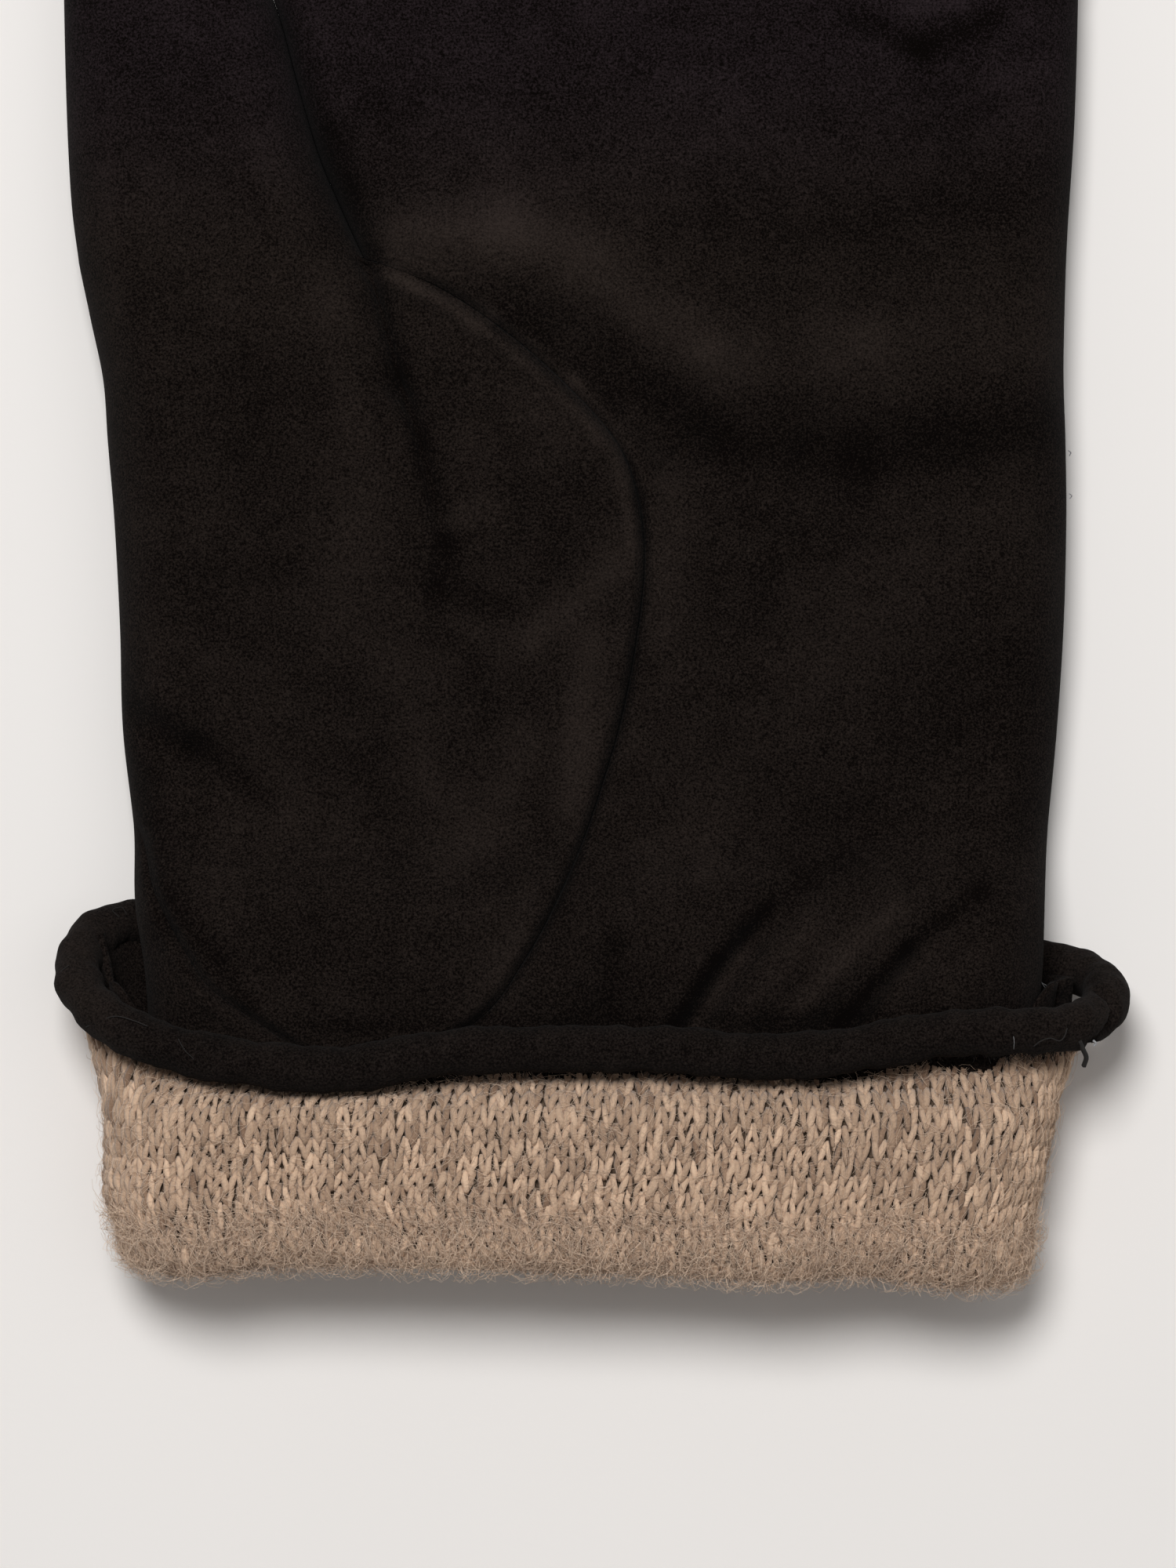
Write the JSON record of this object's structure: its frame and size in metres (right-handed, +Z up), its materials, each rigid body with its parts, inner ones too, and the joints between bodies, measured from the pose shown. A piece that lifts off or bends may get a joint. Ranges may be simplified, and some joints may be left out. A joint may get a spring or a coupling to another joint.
{
  "type": "suede dress glove",
  "caption": "Left-hand suede glove lying palm up, with a rolled hem and its knitted lining shown on the turned-back cuff.",
  "frame": {"origin": "on the flat underside of the back panel, below the middle of the palm", "axes": "+Y from the wrist to the fingertips, +Z up out of the palm, the thumb at -X"},
  "size_m": [0.1163, 0.2192, 0.0243],
  "materials": {
    "palm_suede": "black-brown suede nap",
    "back_suede": "black-brown suede nap",
    "thumb_suede": "black-brown suede nap",
    "turnback_suede": "black-brown suede nap",
    "hem_suede": "black-brown suede, rolled",
    "lining_knit": "beige brushed stocking-stitch knit"
  },
  "bodies": {
    "root": {"palm": "palm_suede", "back": "back_suede", "thumb": "thumb_suede", "cuff_turnback": "turnback_suede", "hem_roll": "hem_suede", "knit_lining": "lining_knit"}
  },
  "joints": []
}
